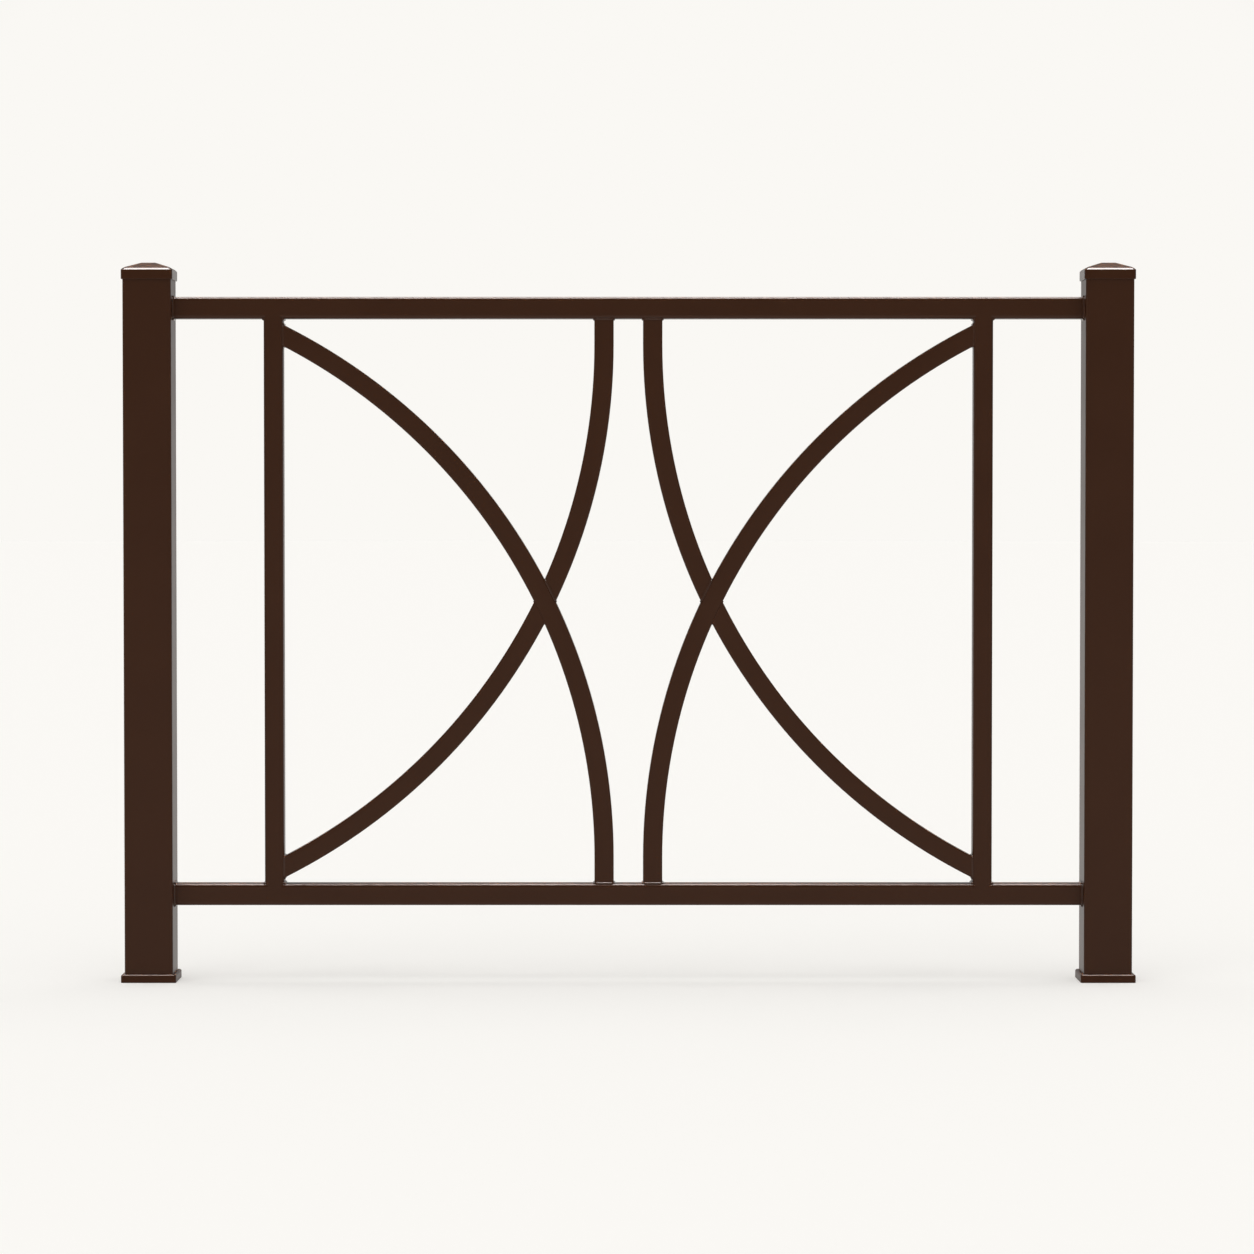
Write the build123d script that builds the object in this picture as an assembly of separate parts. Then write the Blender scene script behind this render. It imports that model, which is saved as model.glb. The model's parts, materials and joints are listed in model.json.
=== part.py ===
from build123d import *
from math import acos, asin, atan, cos, degrees, hypot, radians, sin, sqrt, tan
import os

# A welded steel street barrier: two capped posts, and between them a panel of two
# rails, two stiles and two crossed pairs of rolled square bars. Millimetres, Z up.
# The origin is the centre of the left foot's underside; X runs along the barrier to
# the right post, and Y runs from the front face to the rear one.

# Whole barrier
post_spacing = 1260.0  # between the posts' centre lines
top_rail_height = 900.0  # ground to the top rail's upper face
ground_gap = 100.0  # ground to the bottom rail's underside
side_bay = 119.5  # clear opening between a post and the stile beside it
bar_gap = 38.6  # clear opening between the two curved bars at a rail

# Posts, caps and feet
post_size = 63.5
post_wall = 3.0
post_corner = 3.0
post_rise = 35.0  # post end above the top rail
cap_wall = 1.75  # side wall of the cap round the post
cap_clearance = 0.25  # between the cap's wall and the post
cap_skirt = 12.5  # how far the cap reaches down the post
cap_roof = 2.5  # sheet over the post's end
cap_edge = 2.4  # bevel between the skirt and the pyramid
cap_rise = 5.1  # height of the low pyramid over the bevel
cap_flat = 25.5  # width of the flat on its top
foot_ledge = 4.5  # foot plate beyond each face of the post
foot_thickness = 11.0
foot_bevel = 2.5
foot_corner = 3.0

# Rails and stiles, flush with each other front and back
rail_size = 28.6
stile_width = 25.4
rail_wall = 2.0
rail_corner = 3.0

# Rolled square bars
bar_setback = 1.6  # how far their faces stand behind the rails' faces
bar_wall = 2.0
bar_corner = 1.3  # cut along each long edge
bar_straight = 34.0  # unbent end of each bar at its rail

# Fillet welds
weld_leg = 3.0
weld_toe = 0.4  # thickness of a bead at the end of its leg
weld_flush = 0.3  # ground-off step behind a flush front or rear face
weld_spacing = 1.4  # between two beads that share a corner of the panel
run_on = 6.0  # how far a blank runs past its seam before it is trimmed to fit

# Lines worked out from the sizes above
panel_centre = post_spacing / 2
post_face = post_size / 2
post_top = top_rail_height + post_rise
cap_shoulder = post_top + cap_roof
top_rail_level = top_rail_height - rail_size / 2
bottom_rail_level = ground_gap + rail_size / 2
clear_top = top_rail_height - rail_size
clear_bottom = ground_gap + rail_size
mid_height = (clear_top + clear_bottom) / 2
half_clear = (clear_top - clear_bottom) / 2
stile_inner = post_face + side_bay + stile_width
stile_centre = stile_inner - stile_width / 2

# The bend of a bar of the left-hand pair. The bar starts upright at a rail, and its
# outer side reaches the stile just clear of the weld beads under the other rail: that
# settles the radius that it is rolled to, about a centre level with the bend's start.
bar_size = rail_size - 2 * bar_setback
half_bar = bar_size / 2
bar_start = panel_centre - (bar_gap + bar_size) / 2
bend_start = half_clear - bar_straight
bend_level = mid_height - bend_start
reach_across = bar_start - stile_inner
reach_up = half_clear - 2 * weld_leg - weld_spacing + bend_start
bend_radius = (reach_across**2 + reach_up**2 - half_bar**2) / (2 * (reach_across + half_bar))
bend_centre = bar_start - bend_radius
bend_angle = degrees(asin(reach_up / (bend_radius + half_bar)) + run_on / bend_radius)

# Where the bar's middle line reaches the stile, and how steeply it stands there
corner_turn = acos((stile_inner - bend_centre) / bend_radius)
corner_level = bend_level + bend_radius * sin(corner_turn)
corner_slope = degrees(corner_turn) - 90


def upright(section, x, bottom, top):
    """Run a section up from one level to another."""
    return extrude(Pos(x, 0, bottom) * section, top - bottom)


def rail(section, level):
    """Run a section from the face of one post to the face of the other."""
    start = Plane(origin=(post_face, 0, level), x_dir=(0, 1, 0), z_dir=(1, 0, 0))
    return extrude(start * section, post_spacing - post_size)


def rolled_bar(section):
    """A straight end from the bottom rail, then one steady bend up to the stile."""
    lead = upright(section, bar_start, clear_bottom - run_on, bend_level)
    bend_axis = Axis((bend_centre, 0, bend_level), (0, -1, 0))
    return lead + revolve(Pos(bar_start, 0, bend_level) * section, bend_axis, bend_angle)


def tapered(section, height, inset):
    """A block that narrows by an inset on each side over its height."""
    return extrude(section, height, taper=degrees(atan(inset / height)))


def flipped(piece):
    """The same piece with its upper and lower ends changed over."""
    return mirror(piece, Plane.XY.offset(mid_height))


def right_hand(piece):
    """The same piece on the other half of the barrier."""
    return mirror(piece, Plane.YZ.offset(panel_centre))


def bead_outline(width, depth, corner, grow, room):
    """The outline of a bar, grown all round by a bead within the room on its seat."""
    outline = Rectangle(width + 2 * grow, min(depth + 2 * grow, room))
    return chamfer(outline.vertices(), corner + (2 - sqrt(2)) * grow)


def weld_bead(place, facing, leaving, bar, room, fixed, joined):
    """Fillet bead round the end of a bar, at a seam seen from the front.

    The seat faces one way and the bar leaves it another, both as angles above +X. The
    bead is a frustum that leans with the bar, cut back to the seat and to the bar.
    """
    width, depth, corner = bar
    skew = radians(leaving - facing)
    width = width / cos(skew)
    across, up = cos(radians(facing)), sin(radians(facing))
    seat = Plane(origin=(place[0], 0, place[1]), x_dir=(-up, 0, across), z_dir=(across, 0, up))
    foot = bead_outline(width, depth, corner, weld_leg, room)
    brow = Pos(weld_leg * tan(skew), 0) * bead_outline(width, depth, corner, weld_toe, room)
    rings = [seat.offset(-run_on) * foot, seat * foot, seat.offset(weld_leg) * brow]
    bead = ConvexPolyhedron([corner.center() for ring in rings for corner in ring.vertices()])
    return bead - fixed - joined


def crossing_bead(side, fixed, joined):
    """Bead where a half bar ends on the outer (1) or inner (-1) side of the long bar."""
    lift = (2 * side * bend_radius * half_bar + half_bar**2) / (4 * bend_start)
    across = sqrt(bend_radius**2 - (bend_start - lift) ** 2)
    place = (bend_centre + across, mid_height + lift)
    turn = 90 * (1 - side)
    facing = turn + degrees(asin((bend_start + lift) / hypot(across, bend_start + lift)))
    leaving = turn + degrees(acos((bend_start - lift) / bend_radius))
    return weld_bead(place, facing, leaving, bar_shape, bar_size - 2 * weld_flush, fixed, joined)


def post_cap():
    """Pressed cap: a skirt round the post and a low pyramid, hollow, that sits on its end."""
    cap_size = post_size + 2 * (cap_clearance + cap_wall)
    cap_corner = post_corner + cap_clearance + cap_wall
    crown_size = cap_size - 2 * cap_edge
    skirt_outline = RectangleRounded(cap_size, cap_size, cap_corner)
    crown_outline = RectangleRounded(crown_size, crown_size, cap_corner - cap_edge)
    cap = upright(skirt_outline, 0, post_top - cap_skirt, cap_shoulder)
    cap += Pos(0, 0, cap_shoulder) * tapered(skirt_outline, cap_edge, cap_edge)
    pyramid = tapered(Rectangle(crown_size, crown_size), cap_rise, (crown_size - cap_flat) / 2)
    cap += Pos(0, 0, cap_shoulder + cap_edge) * (pyramid & extrude(crown_outline, cap_rise))
    socket_size = post_size + 2 * cap_clearance
    socket = RectangleRounded(socket_size, socket_size, post_corner + cap_clearance)
    cap -= upright(socket, 0, post_top - cap_skirt, post_top)
    bore_size = post_size - 2 * post_wall
    bore = tapered(Rectangle(bore_size, bore_size), cap_edge + cap_rise, (bore_size - cap_flat) / 2)
    return cap - Pos(0, 0, post_top) * bore


def post_foot():
    """Foot plate with bevelled upper edges."""
    foot_size = post_size + 2 * foot_ledge
    plate = extrude(RectangleRounded(foot_size, foot_size, foot_corner), foot_thickness)
    return chamfer(plate.faces().sort_by(Axis.Z)[-1].edges(), foot_bevel)


# Outlines of the tubes, and the tubes' sections
post_outline = RectangleRounded(post_size, post_size, post_corner)
rail_outline = RectangleRounded(rail_size, rail_size, rail_corner)
stile_outline = RectangleRounded(stile_width, rail_size, rail_corner)
bar_outline = chamfer(Rectangle(bar_size, bar_size).vertices(), bar_corner)
post_section = post_outline - Rectangle(post_size - 2 * post_wall, post_size - 2 * post_wall)
rail_section = rail_outline - Rectangle(rail_size - 2 * rail_wall, rail_size - 2 * rail_wall)
stile_section = stile_outline - Rectangle(stile_width - 2 * rail_wall, rail_size - 2 * rail_wall)
bar_section = bar_outline - Rectangle(bar_size - 2 * bar_wall, bar_size - 2 * bar_wall)

# Filled shapes that the ends of other pieces are cut to
post_block = upright(post_outline, 0, 0, post_top)
top_rail_block = rail(rail_outline, top_rail_level)
bottom_rail_block = rail(rail_outline, bottom_rail_level)
stile_block = upright(stile_outline, stile_centre, clear_bottom - run_on, clear_top + run_on)
long_bar_block = rolled_bar(bar_outline)
half_bar_block = flipped(long_bar_block)

# Tubes of the left-hand half, with their ends coped to what they meet
post = upright(post_section, 0, foot_thickness, post_top)
stile = upright(stile_section, stile_centre, clear_bottom - rail_corner, clear_top + rail_corner)
stile = stile - top_rail_block - bottom_rail_block
long_bar = rolled_bar(bar_section) - bottom_rail_block - stile_block
crossed_bar = flipped(rolled_bar(bar_section)) - top_rail_block - stile_block - long_bar_block
lower_half_bar, upper_half_bar = crossed_bar.solids().sort_by(Axis.Z)

# Weld beads of the left-hand half
rail_shape = (rail_size, rail_size, (2 - sqrt(2)) * rail_corner)
stile_shape = (stile_width, rail_size, (2 - sqrt(2)) * rail_corner)
bar_shape = (bar_size, bar_size, bar_corner)
post_room = post_size - 2 * post_corner
rail_room = rail_size - 2 * weld_flush
rail_place = (post_face, bottom_rail_level)
stile_place = (stile_centre, clear_bottom)
bar_place = (bar_start, clear_bottom)
corner_place = (stile_inner, corner_level)
rail_weld = weld_bead(rail_place, 0, 0, rail_shape, post_room, post_block, bottom_rail_block)
stile_weld = weld_bead(stile_place, 90, 90, stile_shape, rail_room, bottom_rail_block, stile_block)
bar_weld = weld_bead(bar_place, 90, 90, bar_shape, rail_room, bottom_rail_block, long_bar_block)
corner_weld = weld_bead(
    corner_place, 0, corner_slope, bar_shape, rail_room, stile_block, long_bar_block
)

half_pieces = {
    "post": post,
    "post_cap": post_cap(),
    "post_foot": post_foot(),
    "stile": stile,
    "long_bar": long_bar,
    "upper_half_bar": upper_half_bar,
    "lower_half_bar": lower_half_bar,
    "top_rail_weld": flipped(rail_weld),
    "bottom_rail_weld": rail_weld,
    "stile_top_weld": flipped(stile_weld),
    "stile_bottom_weld": stile_weld,
    "long_bar_rail_weld": bar_weld,
    "long_bar_corner_weld": corner_weld,
    "upper_half_bar_rail_weld": flipped(bar_weld),
    "upper_half_bar_crossing_weld": crossing_bead(1, long_bar_block, half_bar_block),
    "lower_half_bar_crossing_weld": crossing_bead(-1, long_bar_block, half_bar_block),
    "lower_half_bar_corner_weld": flipped(corner_weld),
}

os.makedirs("parts", exist_ok=True)
export_step(rail(rail_section, top_rail_level), "parts/top_rail.step")
export_step(rail(rail_section, bottom_rail_level), "parts/bottom_rail.step")
for name, piece in half_pieces.items():
    export_step(piece, f"parts/left_{name}.step")
    export_step(right_hand(piece), f"parts/right_{name}.step")
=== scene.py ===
import json
from math import acos, asin, cos, hypot, pi, radians, sin, sqrt

import bmesh
import bpy
from mathutils import Matrix, Vector


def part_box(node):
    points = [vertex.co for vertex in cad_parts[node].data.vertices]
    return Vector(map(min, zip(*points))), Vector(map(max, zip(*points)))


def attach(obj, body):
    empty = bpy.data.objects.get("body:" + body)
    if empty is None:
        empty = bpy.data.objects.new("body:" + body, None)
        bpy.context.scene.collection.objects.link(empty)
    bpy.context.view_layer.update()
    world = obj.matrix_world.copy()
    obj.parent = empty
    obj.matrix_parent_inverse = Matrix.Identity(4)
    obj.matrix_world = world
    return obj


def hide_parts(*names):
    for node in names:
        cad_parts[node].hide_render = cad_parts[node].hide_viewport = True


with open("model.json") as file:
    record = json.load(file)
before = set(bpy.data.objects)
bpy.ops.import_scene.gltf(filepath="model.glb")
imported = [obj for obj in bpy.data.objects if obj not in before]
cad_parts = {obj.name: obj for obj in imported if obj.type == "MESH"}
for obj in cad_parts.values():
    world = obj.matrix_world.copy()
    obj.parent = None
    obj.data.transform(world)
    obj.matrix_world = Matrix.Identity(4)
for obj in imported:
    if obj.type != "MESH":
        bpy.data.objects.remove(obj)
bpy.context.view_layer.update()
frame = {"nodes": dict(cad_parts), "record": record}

# A welded steel street barrier in dark bronze powder coat. Metres, Z up, front towards -Y.
# The dictionaries hold real millimetres, and mm turns them into metres.
mm = 0.001
samePoint = 0.001 * mm  # points closer than this are one
hardEdge = radians(40)  # faces that meet more sharply than this keep a hard edge
slotOf = {row["node"]: row["material_slot"] for row in frame["record"]["subparts"]}

# Levels and lines of the construction, read from the frame
leftPost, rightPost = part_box("left_post"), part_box("right_post")
topRail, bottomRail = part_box("top_rail"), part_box("bottom_rail")
leftStile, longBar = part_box("left_stile"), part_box("left_long_bar")
panelCentre = (leftPost[0].x + rightPost[1].x) / 2
clearTop, clearBottom = topRail[0].z, bottomRail[1].z
midHeight = (clearTop + clearBottom) / 2
halfRail = (topRail[1].z - topRail[0].z) / 2
halfBar = longBar[1].y
barStart = longBar[1].x - halfBar
stileInner = leftStile[1].x
print("frame read:", len(frame["nodes"]), "nodes")


# Materials

def linearColour(code):
    # sRGB hex to linear
    channels = [int(code[place:place + 2], 16) / 255 for place in (1, 3, 5)]
    return (*[c / 12.92 if c <= 0.04045 else ((c + 0.055) / 1.055) ** 2.4 for c in channels], 1.0)


def addNode(tree, kind, settings=None, inputs=None):
    node = tree.nodes.new(kind)
    for name, value in (settings or {}).items():
        setattr(node, name, value)
    for name, value in (inputs or {}).items():
        if isinstance(value, bpy.types.NodeSocket):
            tree.links.new(value, node.inputs[name])
        else:
            node.inputs[name].default_value = value
    return node


# Polyester powder coat, sprayed and baked: an even, deep brown film with a soft gloss, in which
# the eye finds slow clouds of tone and a low orange peel
powderCoat = {
    "colour": "#341906",
    "mottle": "#3A1E0A",
    "mottleSize": 90,  # width of a cloud
    "peelSize": 2.6,  # width of a ripple of the orange peel
    "peelHeight": 0.03,
    "roughness": (0.32, 0.38),
    "gloss": 0.22,  # specular level, on which 0.5 is a plain gloss paint
    "refraction": 1.5,
}
# The same film over a pressed cap: it flows out smooth on the folds, so light draws a crisp line
capCoat = {**powderCoat, "roughness": (0.26, 0.3), "gloss": 0.21, "peelHeight": 0.02}
# The same film on the foot plates, a little duller near the ground
footCoat = {**powderCoat, "roughness": (0.34, 0.4), "gloss": 0.16}
# The same film over a weld bead: it pools between the ripples, which glint
weldCoat = {**powderCoat, "roughness": (0.25, 0.33), "gloss": 0.38, "peelSize": 1.4, "peelHeight": 0.02}


def coatedSteel(name, coat):
    material = bpy.data.materials.new(name)
    material.use_nodes = True
    tree = material.node_tree
    shader = tree.nodes["Principled BSDF"]
    place = addNode(tree, "ShaderNodeTexCoord").outputs["Object"]
    cloud = addNode(tree, "ShaderNodeTexNoise", inputs={
        "Vector": place, "Scale": 1 / (coat["mottleSize"] * mm), "Detail": 3.0})
    peel = addNode(tree, "ShaderNodeTexNoise", inputs={
        "Vector": place, "Scale": 1 / (coat["peelSize"] * mm), "Detail": 1.0})
    tint = addNode(tree, "ShaderNodeMix", {"data_type": "RGBA"}, {"Factor": cloud.outputs["Fac"]})
    tint.inputs["A"].default_value = linearColour(coat["colour"])
    tint.inputs["B"].default_value = linearColour(coat["mottle"])
    dullness = addNode(tree, "ShaderNodeMapRange", inputs={
        "Value": cloud.outputs["Fac"], "To Min": coat["roughness"][0], "To Max": coat["roughness"][1]})
    relief = addNode(tree, "ShaderNodeBump", inputs={
        "Height": peel.outputs["Fac"], "Distance": coat["peelHeight"] * mm})
    tree.links.new(tint.outputs["Result"], shader.inputs["Base Color"])
    tree.links.new(dullness.outputs["Result"], shader.inputs["Roughness"])
    tree.links.new(relief.outputs["Normal"], shader.inputs["Normal"])
    shader.inputs["IOR"].default_value = coat["refraction"]
    shader.inputs["Specular IOR Level"].default_value = coat["gloss"]
    return material


finishes = {
    "powder_coated_tube": coatedSteel("powderCoatedTube", powderCoat),
    "powder_coated_cap": coatedSteel("powderCoatedCap", capCoat),
    "powder_coated_foot": coatedSteel("powderCoatedFoot", footCoat),
    "powder_coated_weld": coatedSteel("powderCoatedWeld", weldCoat),
}
for node, slotName in slotOf.items():
    mesh = bpy.data.objects[node].data
    mesh.materials.clear()
    mesh.materials.append(finishes[slotName])
print("coats mixed:", len(finishes))


# Shared steps of the modelling

def onlyVerts(geometry):
    return [item for item in geometry if isinstance(item, bmesh.types.BMVert)]


def onlyEdges(geometry):
    return [item for item in geometry if isinstance(item, bmesh.types.BMEdge)]


def onlyFaces(geometry):
    return [item for item in geometry if isinstance(item, bmesh.types.BMFace)]


def roundEdges(bm, edges, radius, segments):
    bmesh.ops.bevel(bm, geom=edges, offset=radius * mm, offset_type="OFFSET", segments=segments,
                    profile=0.5, affect="EDGES", material=-1)


def block(low, high):
    bm = bmesh.new()
    place = Matrix.Translation((low + high) / 2) @ Matrix.Diagonal((*(high - low), 1))
    bmesh.ops.create_cube(bm, size=1, matrix=place)
    return bm


def uprightEdges(bm):
    return [edge for edge in bm.edges if abs((edge.verts[0].co - edge.verts[1].co).z) > mm]


def levelEdges(bm, level):
    # the loop of edges that lies at one height
    near = 0.01 * mm
    return [edge for edge in bm.edges if all(abs(vert.co.z - level) < near for vert in edge.verts)]


def cutOff(bm, point, normal):
    # take away what stands beyond a plane, and close the cut
    everything = bm.verts[:] + bm.edges[:] + bm.faces[:]
    cut = bmesh.ops.bisect_plane(bm, geom=everything, dist=samePoint, plane_co=point,
                                 plane_no=normal, clear_outer=True)
    bmesh.ops.contextual_create(bm, geom=onlyEdges(cut["geom_cut"]))


def turnOver(bm):
    # upper and lower ends changed over
    bmesh.ops.scale(bm, vec=(1, 1, -1), space=Matrix.Translation((0, 0, -midHeight)), verts=bm.verts)


def toRightHand(bm):
    bmesh.ops.scale(bm, vec=(-1, 1, 1), space=Matrix.Translation((-panelCentre, 0, 0)), verts=bm.verts)


def finishPiece(bm, name, node):
    bmesh.ops.remove_doubles(bm, verts=bm.verts, dist=samePoint)
    bmesh.ops.recalc_face_normals(bm, faces=bm.faces)
    mesh = bpy.data.meshes.new(name)
    bm.to_mesh(mesh)
    bm.free()
    mesh.shade_smooth()
    mesh.set_sharp_from_angle(angle=hardEdge)
    piece = bpy.data.objects.new(name, mesh)
    bpy.context.scene.collection.objects.link(piece)
    weighted = piece.modifiers.new("flatFacesStayFlat", "WEIGHTED_NORMAL")
    weighted.keep_sharp = True
    mesh.materials.append(finishes[slotOf[node]])
    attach(piece, "root")
    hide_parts(node)


# Square tubes: posts, rails and stiles
squareTube = {"postCorner": 3.0, "railCorner": 4.4, "segments": 7}


def straightTube(low, high, along, corner):
    # along is 0 for a tube that runs in X, and 2 for one that stands
    bm = block(low, high)
    halfLength = (high - low)[along] / 2
    long = [edge for edge in bm.edges if abs((edge.verts[0].co - edge.verts[1].co)[along]) > halfLength]
    roundEdges(bm, long, corner, squareTube["segments"])
    return bm


for node in ("top_rail", "bottom_rail"):
    finishPiece(straightTube(*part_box(node), 0, squareTube["railCorner"]), node + "_tube", node)
for side in ("left", "right"):
    post = straightTube(*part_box(side + "_post"), 2, squareTube["postCorner"])
    finishPiece(post, side + "_post_tube", side + "_post")
    # a stile's flat faces run on to where the rails' rounded corners end, so the joints are flush
    low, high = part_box(side + "_stile")
    low.z = clearBottom - squareTube["railCorner"] * mm
    high.z = clearTop + squareTube["railCorner"] * mm
    finishPiece(straightTube(low, high, 2, squareTube["railCorner"]), side + "_stile_tube", side + "_stile")
print("posts, rails and stiles made")


# Rolled bars: upright off a rail, then one steady bend to the stile
rolledBar = {
    "straight": 34,  # unbent length at the rail
    "corner": 2.0,
    "cornerSegments": 3,
    "bendSteps": 56,
    "seat": 1.0,  # how far an end runs into the rail or stile
    "runOn": 12,  # how far a blank is bent past the stile before it is cut
    "gap": 0.6,  # an upper half bar stops this short of the long bar, under a raised bead
    "overlap": 0.6,  # a lower half bar runs this far into it, under a dressed bead
}
bendLevel = clearBottom + rolledBar["straight"] * mm
bendStart = midHeight - bendLevel
reachAcross = barStart - stileInner
reachUp = longBar[1].z - bendLevel
bendRadius = (reachAcross**2 + reachUp**2 - halfBar**2) / (2 * (reachAcross + halfBar))
bendCentre = barStart - bendRadius
bendAngle = acos((stileInner - bendCentre) / (bendRadius + halfBar)) + rolledBar["runOn"] * mm / bendRadius


def bentBar():
    bm = bmesh.new()
    bmesh.ops.create_circle(bm, cap_ends=True, segments=4, radius=halfBar * sqrt(2),
                            matrix=Matrix.Rotation(pi / 4, 4, "Z"))
    bmesh.ops.bevel(bm, geom=bm.verts[:], offset=rolledBar["corner"] * mm, offset_type="OFFSET",
                    segments=rolledBar["cornerSegments"], profile=0.5, affect="VERTICES", material=-1)
    foot = clearBottom - rolledBar["seat"] * mm
    bmesh.ops.translate(bm, vec=(barStart, 0, foot), verts=bm.verts)
    raised = bmesh.ops.extrude_face_region(bm, geom=bm.faces[:])["geom"]
    bmesh.ops.translate(bm, vec=(0, 0, bendLevel - foot), verts=onlyVerts(raised))
    bmesh.ops.spin(bm, geom=onlyFaces(raised), cent=(bendCentre, 0, bendLevel), axis=(0, -1, 0),
                   angle=bendAngle, steps=rolledBar["bendSteps"])
    cutOff(bm, (stileInner - rolledBar["seat"] * mm, 0, 0), (-1, 0, 0))
    return bm


def crossing(side):
    # where a half bar ends on the outer (1) or inner (-1) side of the long bar: the point, the
    # direction in which the long bar's side faces there, and how far the half bar leans from it
    lift = (2 * side * bendRadius * halfBar + halfBar**2) / (4 * bendStart)
    across = sqrt(bendRadius**2 - (bendStart - lift) ** 2)
    facing = asin((bendStart + lift) / hypot(across, bendStart + lift))
    lean = acos((bendStart - lift) / bendRadius) - facing
    point = Vector((bendCentre + across, 0, midHeight + lift))
    return point, side * Vector((cos(facing), 0, sin(facing))), lean


def halfBarTo(side, gap):
    bm = bentBar()
    turnOver(bm)
    point, outward, lean = crossing(side)
    cutOff(bm, point + gap * mm * outward, -outward)
    return bm


barMakers = {
    "long_bar": bentBar,
    "upper_half_bar": lambda: halfBarTo(1, rolledBar["gap"]),
    "lower_half_bar": lambda: halfBarTo(-1, -rolledBar["overlap"]),
}
for side in ("left", "right"):
    for name, maker in barMakers.items():
        bar = maker()
        if side == "right":
            toRightHand(bar)
        finishPiece(bar, f"{side}_{name}_tube", f"{side}_{name}")
print("rolled bars bent")


# Pressed caps: a skirt round the post, a folded edge in two steps, then a low pyramid with soft hips
pressedCap = {
    "corner": 4.0,
    "cornerSegments": 6,
    "steps": ((2.2, 2.2, 0.4), (1.7, 2.9, 0.5), (6.4, 19.4, 0.7)),  # rise, setback, rounding at its top
    "shoulder": 0.4,  # rounding at the skirt's upper edge
    "rim": 0.8,  # rounding at its lower edge
    "roundSegments": 3,
    "wall": 1.75,
    "socketDepth": 12.5,
}


def raiseFace(bm, face, lift):
    # the face goes up by this much, with walls under its edges
    raised = bmesh.ops.extrude_face_region(bm, geom=[face])["geom"]
    if face.is_valid:
        bmesh.ops.delete(bm, geom=[face], context="FACES_ONLY")
    bmesh.ops.translate(bm, vec=(0, 0, lift * mm), verts=onlyVerts(raised))
    return onlyFaces(raised)[0]


def capShell(low, high):
    shoulder = high.z - sum(rise for rise, setback, rounding in pressedCap["steps"]) * mm
    bm = block(low, Vector((high.x, high.y, shoulder)))
    roundEdges(bm, uprightEdges(bm), pressedCap["corner"], pressedCap["cornerSegments"])
    middle = (low + high) / 2
    top = max(bm.faces, key=lambda face: face.calc_center_median().z)
    level, width = shoulder, high.x - low.x
    creases = [(shoulder, pressedCap["shoulder"])]
    for rise, setback, rounding in pressedCap["steps"]:
        top = raiseFace(bm, top, rise)
        narrowed = width - 2 * setback * mm
        bmesh.ops.scale(bm, vec=(narrowed / width, narrowed / width, 1), verts=top.verts,
                        space=Matrix.Translation((-middle.x, -middle.y, 0)))
        level, width = level + rise * mm, narrowed
        creases.append((level, rounding))
    roundEdges(bm, levelEdges(bm, low.z), pressedCap["rim"], pressedCap["roundSegments"])
    # the open underside, so the cap is a shell round the post's end
    under = min(bm.faces, key=lambda face: face.calc_center_median().z)
    bmesh.ops.inset_region(bm, faces=[under], thickness=pressedCap["wall"] * mm, use_even_offset=True)
    raiseFace(bm, under, pressedCap["socketDepth"])
    for level, rounding in creases:
        roundEdges(bm, levelEdges(bm, level), rounding, pressedCap["roundSegments"])
    return bm


for side in ("left", "right"):
    finishPiece(capShell(*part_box(side + "_post_cap")), side + "_post_cap_pressing", side + "_post_cap")
print("caps pressed")


# Foot plates: square, with bevelled upper edges whose creases are softened
footPlate = {
    "corner": 3.0,
    "cornerSegments": 4,
    "bevel": 1.7,
    "crease": 0.6,
    "lowerEdge": 0.5,
    "roundSegments": 2,
}


def plate(low, high):
    bm = block(low, high)
    roundEdges(bm, uprightEdges(bm), footPlate["corner"], footPlate["cornerSegments"])
    roundEdges(bm, levelEdges(bm, high.z), footPlate["bevel"], 1)  # one flat face all round
    softened = ((high.z, "crease"), (high.z - footPlate["bevel"] * mm, "crease"), (low.z, "lowerEdge"))
    for level, rounding in softened:
        roundEdges(bm, levelEdges(bm, level), footPlate[rounding], footPlate["roundSegments"])
    return bm


for side in ("left", "right"):
    finishPiece(plate(*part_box(side + "_post_foot")), side + "_post_foot_plate", side + "_post_foot")
print("foot plates cut")


# Weld beads: rippled runs of filler in the corner between two faces
weldBead = {
    "sides": 12,
    "pitch": 3.6,  # from ripple to ripple
    "ringsPerRipple": 6,
    "ripple": 0.015,  # depth as a share of the bead's radius
    "endLength": 2.0,  # stretch in which a run thins out at its end
    "endSize": 0.1,  # share of its section that is left at the tip
    "trim": 0.8,  # a run stops this short of the corner
    "crossingLift": 0.3,  # a crossing's beads lie this far off the long bar's side
}


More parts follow.
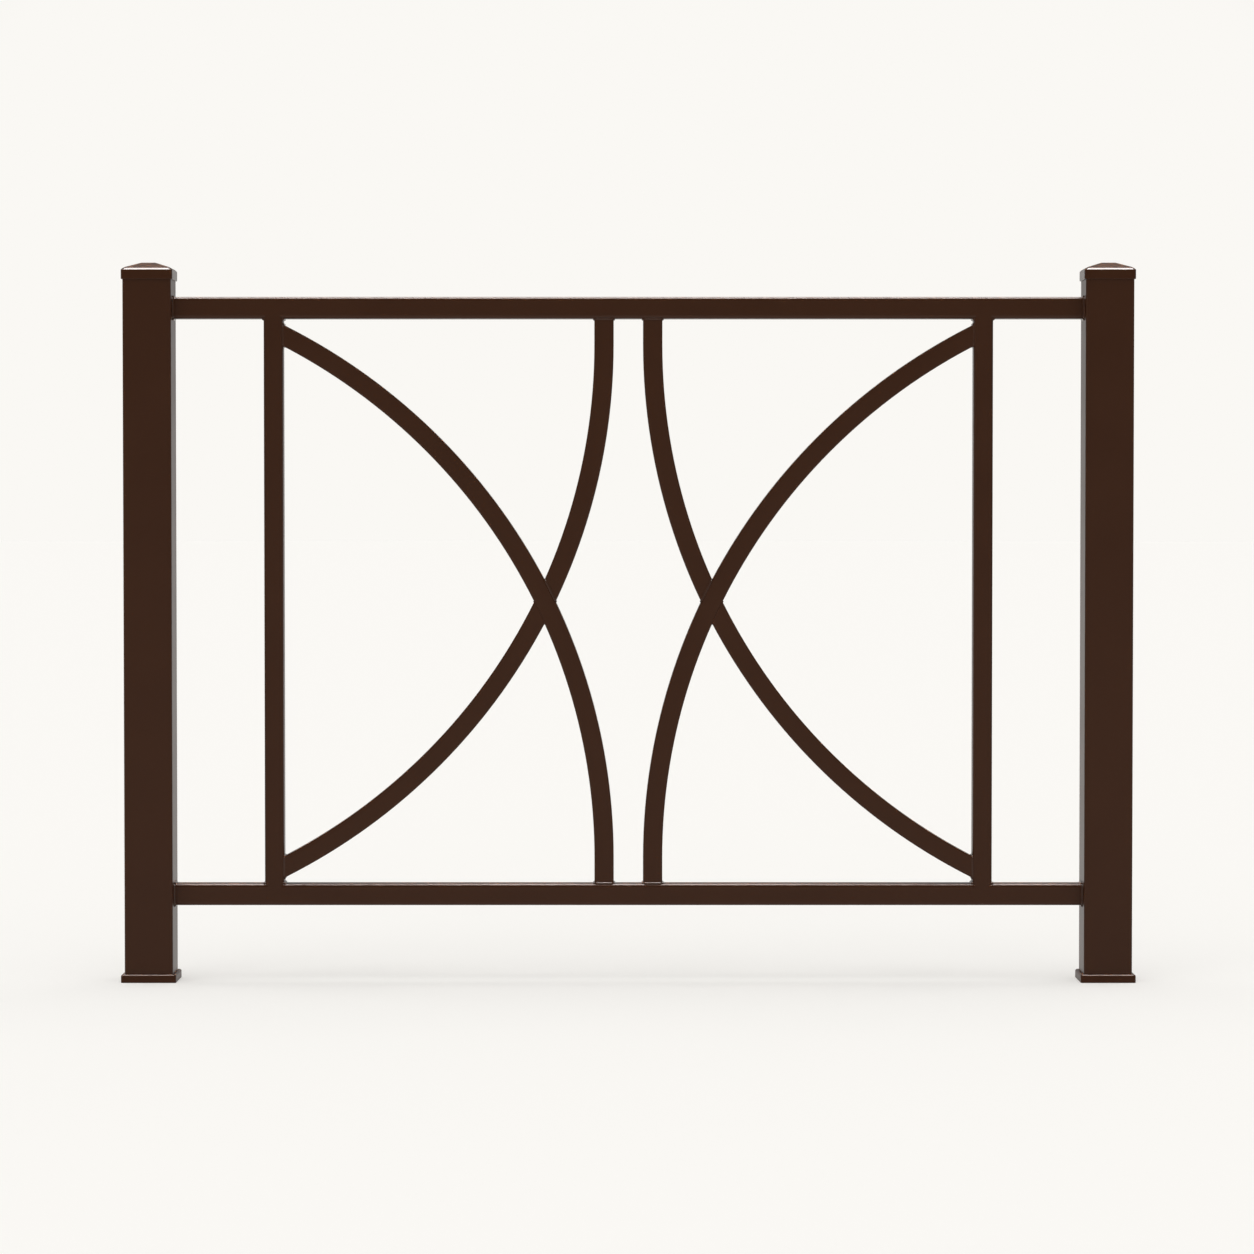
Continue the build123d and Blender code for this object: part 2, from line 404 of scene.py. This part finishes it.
def layBead(bm, start, end, radius):
    run = end - start
    along = run.normalized()
    ripples = max(1, round(run.length / (weldBead["pitch"] * mm)))
    pitch = run.length / ripples
    place = Matrix.Translation((start + end) / 2) @ along.to_track_quat("Z", "Y").to_matrix().to_4x4()
    earlier = set(bm.verts)
    bead = bmesh.ops.create_cone(bm, cap_ends=True, segments=weldBead["sides"], radius1=radius * mm,
                                 radius2=radius * mm, depth=run.length, matrix=place)["verts"]
    nearlyWhole = 0.99 * run.length
    fresh = set(bead)
    lengthwise = [edge for edge in bm.edges if edge.verts[0] in fresh and edge.calc_length() > nearlyWhole]
    rings = ripples * weldBead["ringsPerRipple"] - 1
    bmesh.ops.subdivide_edgering(bm, edges=lengthwise, cuts=rings, interp_mode="LINEAR")
    endLength = weldBead["endLength"] * mm
    for vert in [vert for vert in bm.verts if vert not in earlier]:
        travel = (vert.co - start).dot(along)
        middle = start + along * travel
        swell = 1 - weldBead["ripple"] * (1 + cos(2 * pi * travel / pitch)) / 2
        toEnd = min(travel, run.length - travel)
        thinned = 1 - min(1, max(0, toEnd / endLength))
        taper = sqrt(max(weldBead["endSize"], 1 - thinned**2))
        vert.co = middle + (vert.co - middle) * swell * taper


def weldRound(bm, centre, across, halfWidth, halfDepth, radii):
    # runs along the two sides, and across the front and rear where those have room for one
    sideRadius, faceRadius, faceDepth = radii
    trim = weldBead["trim"] * mm
    for way in (-1, 1):
        if sideRadius:
            edge = centre + way * halfWidth * across
            reach = Vector((0, halfDepth - trim, 0))
            layBead(bm, edge - reach, edge + reach, sideRadius)
        if faceRadius:
            face = centre + Vector((0, way * (halfDepth - faceDepth * mm), 0))
            reach = (halfWidth - trim) * across
            layBead(bm, face - reach, face + reach, faceRadius)


upward = Vector((0, 0, 1))
toRight = Vector((1, 0, 0))
postFace = leftPost[1].x
bottomRailLevel = bottomRail[1].z - halfRail
stileCentre = (leftStile[0].x + leftStile[1].x) / 2
cornerTurn = acos((stileInner - bendCentre) / bendRadius)
cornerPoint = Vector((stileInner, 0, bendLevel + bendRadius * sin(cornerTurn)))
cornerHalf = halfBar / sin(cornerTurn)
stileHalf = stileInner - stileCentre
beadRadii = {  # side runs, front and rear runs, and how far the latter lie behind the face
    "rail": (2.4, 2.5, 0.3),
    "stile": (2.3, 0, 0),
    "bar": (2.0, 1.9, 0.8),
    "corner": (2.0, 2.6, 2.1),
    "raisedCrossing": (1.2, 1.6, 0.4),
    "dressedCrossing": (1.2, 1.0, 1.05),
}
# each seam's middle, the direction across it, its half width and half depth, and its radii
seams = {
    "bottom_rail_weld": (Vector((postFace, 0, bottomRailLevel)), upward, halfRail, halfRail, "rail"),
    "stile_bottom_weld": (Vector((stileCentre, 0, clearBottom)), toRight, stileHalf, halfRail, "stile"),
    "long_bar_rail_weld": (Vector((barStart, 0, clearBottom)), toRight, halfBar, halfBar, "bar"),
    "long_bar_corner_weld": (cornerPoint, upward, cornerHalf, halfBar, "corner"),
}
mirroredSeams = {  # the same seam with its upper and lower ends changed over
    "top_rail_weld": "bottom_rail_weld",
    "stile_top_weld": "stile_bottom_weld",
    "upper_half_bar_rail_weld": "long_bar_rail_weld",
    "lower_half_bar_corner_weld": "long_bar_corner_weld",
}
for name, side, kind in (("upper_half_bar_crossing_weld", 1, "raisedCrossing"),
                         ("lower_half_bar_crossing_weld", -1, "dressedCrossing")):
    point, outward, lean = crossing(side)
    alongSeat = Vector((-outward.z, 0, outward.x))
    seat = point + weldBead["crossingLift"] * mm * outward
    seams[name] = (seat, alongSeat, halfBar / cos(lean), halfBar, kind)

for side in ("left", "right"):
    for name in [*seams, *mirroredSeams]:
        centre, across, halfWidth, halfDepth, kind = seams[mirroredSeams.get(name, name)]
        bead = bmesh.new()
        weldRound(bead, centre, across, halfWidth, halfDepth, beadRadii[kind])
        if name in mirroredSeams:
            turnOver(bead)
        if side == "right":
            toRightHand(bead)
        finishPiece(bead, f"{side}_{name}_bead", f"{side}_{name}")
print("welds laid")


# Studio: a pale floor in a light tent, a softbox overhead and weak fills from front and rear
studio = {"white": "#FAF8F4", "floorRadius": 60, "floorSides": 96, "tentLight": 0.4, "floorGlow": 0.35}
lamps = {  # light on a face turned to it, where it shines from, how wide it is in degrees
    "overheadSoftbox": (0.42, (0.0, 0.0, 1.0), 70),
    "frontFill": (0.22, (-0.15, -1.0, 0.75), 60),
    "rearFill": (0.09, (0.15, 1.0, 0.8), 60),
}

floorForm = bmesh.new()
bmesh.ops.create_circle(floorForm, cap_ends=True, segments=studio["floorSides"],
                        radius=studio["floorRadius"])
floorMesh = bpy.data.meshes.new("studioFloor")
floorForm.to_mesh(floorMesh)
floorForm.free()
floor = bpy.data.objects.new("studioFloor", floorMesh)
bpy.context.scene.collection.objects.link(floor)


def shownRay(tree):
    # 1 for what the camera sees, in the gloss and through glass too
    path = addNode(tree, "ShaderNodeLightPath")
    glossyToo = addNode(tree, "ShaderNodeMath", {"operation": "MAXIMUM"}, {
        0: path.outputs["Is Camera Ray"], 1: path.outputs["Is Glossy Ray"]})
    return addNode(tree, "ShaderNodeMath", {"operation": "MAXIMUM"}, {
        0: glossyToo.outputs[0], 1: path.outputs["Is Transmission Ray"]}).outputs[0]


# Dead matt white paper, lit from below by a table, which lightens the shadow that it takes
floorPaint = bpy.data.materials.new("mattWhiteFloor")
floorPaint.use_nodes = True
tree = floorPaint.node_tree
floorShader = tree.nodes["Principled BSDF"]
floorShader.inputs["Base Color"].default_value = linearColour(studio["white"])
floorShader.inputs["Roughness"].default_value = 1.0
floorShader.inputs["Specular IOR Level"].default_value = 0.0
glow = addNode(tree, "ShaderNodeEmission", inputs={"Color": linearColour(studio["white"]), "Strength": 1.0})
share = addNode(tree, "ShaderNodeMath", {"operation": "MULTIPLY"}, {
    0: shownRay(tree), 1: studio["floorGlow"]})
paper = addNode(tree, "ShaderNodeMixShader", inputs={
    0: share.outputs[0], 1: floorShader.outputs["BSDF"], 2: glow.outputs["Emission"]})
tree.links.new(paper.outputs[0], tree.nodes["Material Output"].inputs["Surface"])
floorMesh.materials.append(floorPaint)

for name, (light, source, spread) in lamps.items():
    lamp = bpy.data.lights.new(name, "SUN")
    lamp.energy = light * pi
    lamp.angle = radians(spread)
    holder = bpy.data.objects.new(name, lamp)
    holder.rotation_mode = "QUATERNION"
    holder.rotation_quaternion = Vector(source).to_track_quat("Z", "Y")
    holder.visible_glossy = False  # the room shows a bright patch in its place
    bpy.context.scene.collection.objects.link(holder)

# What shows in the gloss, and to the camera: white low down behind, walls that are dark in front
# and grey behind, softboxes high on both sides, and a bright roof with a strip lamp in it.
# The limits of each are components of the direction in which one looks: Y is 1 straight to the
# rear, Z is 1 straight up, and X is 1 straight to either side.
room = {
    "front": 0.04, "rear": 0.4, "frontFrom": -0.9, "rearFrom": 0.5,
    "whiteEdge": 0.965, "whiteFull": 0.984, "whiteTop": 0.12, "whiteEnd": 0.18,
    "roof": 7.0, "roofEdge": 0.84, "roofFull": 0.95,
    "strip": 48.0, "stripEdge": 0.965, "stripFull": 0.982,
    "side": 0.8, "sideEdge": 0.75, "sideFull": 0.88, "sideFoot": 0.08, "sideUp": 0.3,
}
world = bpy.data.worlds.new("lightTent")
bpy.context.scene.world = world
world.use_nodes = True
tree = world.node_tree
tree.nodes.clear()


def fade(value, start, end, low, high):
    # a soft step from one brightness to another
    return addNode(tree, "ShaderNodeMapRange", {"interpolation_type": "SMOOTHSTEP"}, {
        "Value": value, "From Min": start, "From Max": end, "To Min": low, "To Max": high}).outputs["Result"]


direction = addNode(tree, "ShaderNodeTexCoord").outputs["Generated"]
parts = addNode(tree, "ShaderNodeSeparateXYZ", inputs={"Vector": direction})
walls = fade(parts.outputs["Y"], room["frontFrom"], room["rearFrom"], room["front"], room["rear"])
roof = fade(parts.outputs["Z"], room["roofEdge"], room["roofFull"], 0.0, room["roof"])
strip = fade(parts.outputs["Z"], room["stripEdge"], room["stripFull"], 0.0, room["strip"])
across = addNode(tree, "ShaderNodeMath", {"operation": "ABSOLUTE"}, {0: parts.outputs["X"]})
sideways = fade(across.outputs[0], room["sideEdge"], room["sideFull"], 0.0, room["side"])
risen = fade(parts.outputs["Z"], room["sideFoot"], room["sideUp"], 0.0, 1.0)
boxes = addNode(tree, "ShaderNodeMath", {"operation": "MULTIPLY_ADD"}, {0: sideways, 1: risen, 2: walls})
wallsAndRoof = addNode(tree, "ShaderNodeMath", {"operation": "ADD"}, {0: boxes.outputs[0], 1: roof})
everything = addNode(tree, "ShaderNodeMath", {"operation": "ADD"}, {0: wallsAndRoof.outputs[0], 1: strip})
behind = fade(parts.outputs["Y"], room["whiteEdge"], room["whiteFull"], 0.0, 1.0)
low = fade(parts.outputs["Z"], room["whiteTop"], room["whiteEnd"], 1.0, 0.0)
sweep = addNode(tree, "ShaderNodeMath", {"operation": "MULTIPLY"}, {0: behind, 1: low})
seen = addNode(tree, "ShaderNodeMix", {"data_type": "RGBA"}, {"Factor": sweep.outputs[0]})
tree.links.new(everything.outputs[0], seen.inputs["A"])
seen.inputs["B"].default_value = linearColour(studio["white"])
shownSky = addNode(tree, "ShaderNodeBackground", inputs={"Color": seen.outputs["Result"], "Strength": 1.0})
lightSky = addNode(tree, "ShaderNodeBackground", inputs={"Strength": studio["tentLight"]})
lightSky.inputs["Color"].default_value = (1, 1, 1, 1)
choice = addNode(tree, "ShaderNodeMixShader", inputs={
    0: shownRay(tree), 1: lightSky.outputs[0], 2: shownSky.outputs[0]})
addNode(tree, "ShaderNodeOutputWorld", inputs={"Surface": choice.outputs[0]})
bpy.context.scene.view_settings.view_transform = "Standard"
print("studio lit")

# Camera: a long lens from a low stand, at two thirds of the barrier's height
cameraSettings = {"lens": 120.57, "sensor": 36, "place": (0.6282, -5.53175, 0.6335), "pitch": -1.73}
camera = bpy.data.objects.new("camera", bpy.data.cameras.new("camera"))
camera.data.lens = cameraSettings["lens"]
camera.data.sensor_width = cameraSettings["sensor"]
camera.data.clip_end = 2 * studio["floorRadius"]
camera.location = cameraSettings["place"]
camera.rotation_euler = (radians(90 + cameraSettings["pitch"]), 0, 0)
bpy.context.scene.collection.objects.link(camera)
bpy.context.scene.camera = camera
print("camera placed")
